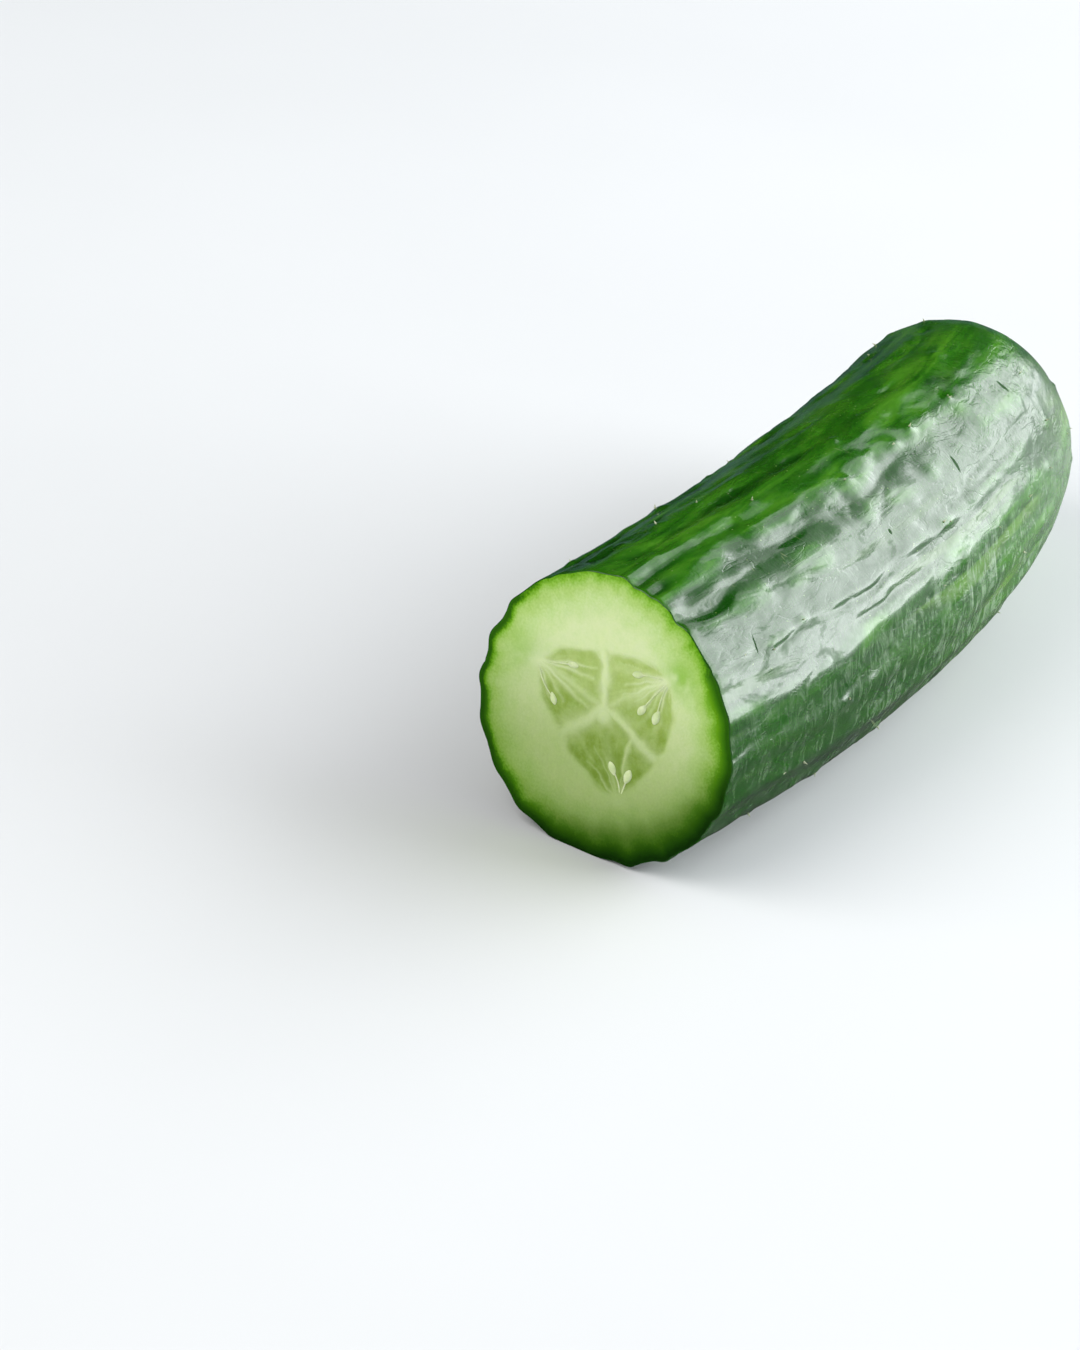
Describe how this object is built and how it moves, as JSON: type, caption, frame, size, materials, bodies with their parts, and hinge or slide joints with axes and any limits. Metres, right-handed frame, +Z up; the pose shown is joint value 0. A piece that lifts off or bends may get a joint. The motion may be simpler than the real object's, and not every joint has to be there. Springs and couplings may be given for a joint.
{
  "type": "cut cucumber",
  "caption": "Long ribbed cucumber lying on its side, gently bent, with a straight knife cut showing pale flesh at one end and a rounded blossom end at the other.",
  "frame": {"origin": "middle of the bounding box's base, on the surface that the cucumber lies on", "axes": "+X from the cut face towards the blossom end, square to the cut; +Y to the inside of the bend; +Z up"},
  "size_m": [0.1618, 0.0648, 0.0492],
  "materials": {
    "skin": "dark green waxy skin, ribbed and wrinkled, with lighter lengthwise streaks",
    "flesh": "pale green wet flesh, translucent round the seeds",
    "seed": "soft pale seeds under a wet film",
    "scar": "dry corky scar and spine stubs"
  },
  "bodies": {
    "root": {"cucumber": "skin"}
  },
  "joints": []
}
